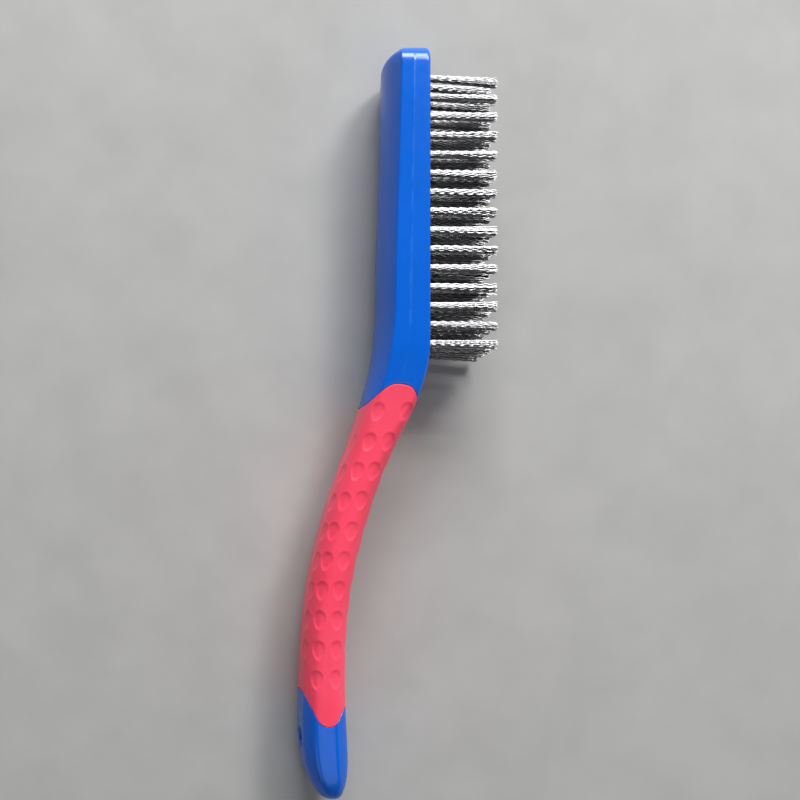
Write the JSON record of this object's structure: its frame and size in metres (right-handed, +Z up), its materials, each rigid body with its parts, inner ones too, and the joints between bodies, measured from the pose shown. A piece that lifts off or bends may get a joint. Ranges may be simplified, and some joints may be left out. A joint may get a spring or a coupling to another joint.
{
  "type": "wire brush",
  "caption": "Hand-held wire scratch brush with a moulded block, rows of crimped steel wire tufts, a curved handle with a soft dimpled grip, and a hanging hole at the tail.",
  "frame": {"origin": "centre of the hanging hole, on the middle plane of the handle", "axes": "+Y along the handle from the tail to the head, +X the way the bristles point, +Z up across the width; the brush lies on the flat side of its head"},
  "size_m": [0.0715, 0.2828, 0.0296],
  "materials": {
    "body_plastic": "glossy moulded blue plastic",
    "grip_rubber": "satin pink-red soft rubber",
    "wire_steel": "bright crimped carbon steel wire",
    "anchor_steel": "plain flat steel wire"
  },
  "bodies": {
    "root": {"handle_body": "body_plastic", "soft_grip": "grip_rubber", "tuft_row_01": "wire_steel", "tuft_row_02": "wire_steel", "tuft_row_03": "wire_steel", "tuft_row_04": "wire_steel", "tuft_row_05": "wire_steel", "tuft_row_06": "wire_steel", "tuft_row_07": "wire_steel", "tuft_row_08": "wire_steel", "tuft_row_09": "wire_steel", "tuft_row_10": "wire_steel", "tuft_row_11": "wire_steel", "tuft_row_12": "wire_steel", "tuft_row_13": "wire_steel", "tuft_row_14": "wire_steel", "tuft_row_15": "wire_steel", "anchor_row_01": "anchor_steel", "anchor_row_02": "anchor_steel", "anchor_row_03": "anchor_steel", "anchor_row_04": "anchor_steel", "anchor_row_05": "anchor_steel", "anchor_row_06": "anchor_steel", "anchor_row_07": "anchor_steel", "anchor_row_08": "anchor_steel", "anchor_row_09": "anchor_steel", "anchor_row_10": "anchor_steel", "anchor_row_11": "anchor_steel", "anchor_row_12": "anchor_steel", "anchor_row_13": "anchor_steel", "anchor_row_14": "anchor_steel", "anchor_row_15": "anchor_steel"}
  },
  "joints": []
}
